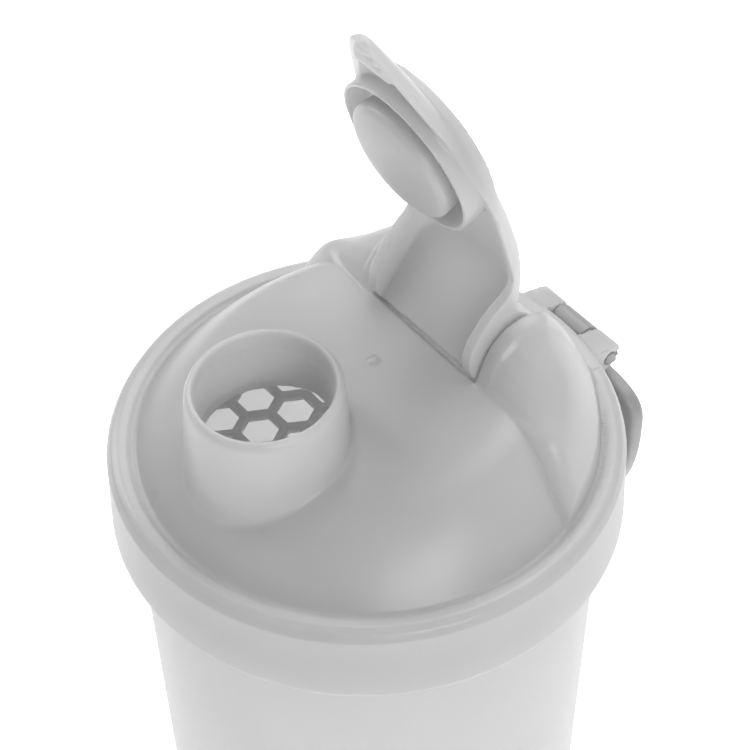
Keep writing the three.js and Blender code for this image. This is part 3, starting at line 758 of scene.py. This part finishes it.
seal("lid_ring_seal", 43.1, 46.6, LID_Z + 12, LID_Z + 13.5, "lid_carrier", "lid_seal")
seal("powder_ring_seal", POWDER_R - 4.9, POWDER_R - 3, POWDER_TOP_Z - SOCKET + 0.3,
     POWDER_TOP_Z - SOCKET + 1, "powder_carrier", "powder_cup_seal")
seal("pill_ring_seal", PILL_R - 4.9, PILL_R - 3, PILL_TOP_Z - SOCKET + 0.3, PILL_TOP_Z - SOCKET + 1,
     "pill_carrier", "pill_cup_seal")

TRAY_R, TRAY_WALL, TRAY_LOW, TRAY_TOP = 35.7, 1.4, 2.6, 12.4


def tray_field(x, y, z):
    """A round tray with two crossed walls that make its four compartments."""
    r = np.hypot(x, y)
    d = smax(r - TRAY_R, np.abs(z - (TRAY_LOW + TRAY_TOP) / 2) - (TRAY_TOP - TRAY_LOW) / 2, 1.0)
    cells = smax(r - TRAY_R + TRAY_WALL, TRAY_LOW + TRAY_WALL - z, 2.0)
    cells = smax(cells, TRAY_WALL / 2 - np.minimum(np.abs(x), np.abs(y)) + 0 * z, 1.2)
    return smax(d, -cells, 0.5)


tray = carved("tray", tray_field, (-37, -37, 1.6), (37, 37, 13.4), 0.6)
dress(tray, SATIN_PAINTED_SHADE, "satin", "tray", "pill_tray")

# ---- floor, light and camera ---------------------------------------------------------------------
floor_mesh = bpy.data.meshes.new("floor")
FLOOR = 4.0
floor_mesh.from_pydata([(-FLOOR, -FLOOR, 0), (FLOOR, -FLOOR, 0), (FLOOR, FLOOR, 0), (-FLOOR, FLOOR, 0)],
                       [], [(0, 1, 2, 3)])
floor = bpy.data.objects.new("floor", floor_mesh)
bpy.context.scene.collection.objects.link(floor)
white = bpy.data.materials.new("pale_floor")
white.use_nodes = True
paint = white.node_tree.nodes["Principled BSDF"].inputs
paint["Base Color"].default_value = (0.93, 0.93, 0.93, 1)
paint["Roughness"].default_value = 0.8
paint["Emission Color"].default_value = (1, 1, 1, 1)
paint["Emission Strength"].default_value = 0.6
floor.data.materials.append(white)

scene = bpy.context.scene
scene.view_settings.view_transform = "Standard"
scene.view_settings.look = "None"
world = bpy.data.worlds.new("studio")
scene.world = world
world.use_nodes = True
sky = world.node_tree.nodes["Background"].inputs
sky["Color"].default_value = (1, 1, 1, 1)
sky["Strength"].default_value = 0.42

# the softboxes face this point
AIM = Vector((0, 0, (LID_Z + 20) * MM))


def softbox(name, azimuth, elevation, distance, width, height, power):
    """A rectangular light in that direction from AIM, facing it; azimuth 0 is at -Y, 90 at +X."""
    data = bpy.data.lights.new(name, "AREA")
    data.shape = "RECTANGLE"
    data.size = width
    data.size_y = height
    data.energy = power
    lamp = bpy.data.objects.new(name, data)
    a, e = math.radians(azimuth), math.radians(elevation)
    away = Vector((math.sin(a) * math.cos(e), -math.cos(a) * math.cos(e), math.sin(e)))
    lamp.location = AIM + away * distance
    lamp.rotation_euler = (-away).to_track_quat("-Z", "Y").to_euler()
    scene.collection.objects.link(lamp)


softbox("rear_light", 200, 55, 1.2, 1.2, 0.9, 12)
softbox("front_light", 74, 27, 1.2, 0.75, 0.30, 6)
softbox("left_light", -75, 35, 1.0, 0.3, 0.7, 4)

camera_data = bpy.data.cameras.new("camera")
camera_data.sensor_width = 36
camera_data.lens = 105.6
camera_data.clip_start = 0.01
camera = bpy.data.objects.new("camera", camera_data)
scene.collection.objects.link(camera)
# the photograph's viewpoint, worked out from the lid's circles
EYE = Vector((225.2, -169.2, 327.4 + LID_Z)) * MM
TARGET = Vector((1.14, 1.50, 32.49 + LID_Z)) * MM
camera.location = EYE
look = (TARGET - EYE).to_track_quat("-Z", "Y").to_matrix().to_4x4()
ROLL = math.radians(1.16)
camera.matrix_world = Matrix.Translation(EYE) @ look @ Matrix.Rotation(-ROLL, 4, "Z")
scene.camera = camera
